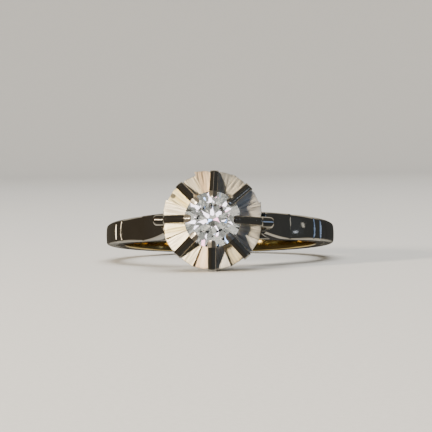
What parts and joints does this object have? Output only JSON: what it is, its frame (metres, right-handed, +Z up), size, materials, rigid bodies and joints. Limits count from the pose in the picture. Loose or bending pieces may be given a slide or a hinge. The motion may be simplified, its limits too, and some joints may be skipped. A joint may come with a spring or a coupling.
{
  "type": "solitaire ring",
  "caption": "Finger ring lying on its side: a two-tone gold hoop with a flared, pierced head whose faceted petals and ridge claws hold one round brilliant.",
  "frame": {"origin": "middle of the footprint, on the surface that the ring rests on", "axes": "+Z up; the stone faces -Y and a little up, the back of the hoop points to +Y, and +X is to the right for someone who looks at the stone"},
  "size_m": [0.0204, 0.0268, 0.0083],
  "materials": {
    "yellow_gold": "polished, lightly worn",
    "white_gold": "polished, satin on the petals",
    "diamond": "clear, cut and polished"
  },
  "bodies": {
    "root": {"shank": "yellow_gold", "setting": "white_gold", "stone": "diamond"}
  },
  "joints": []
}
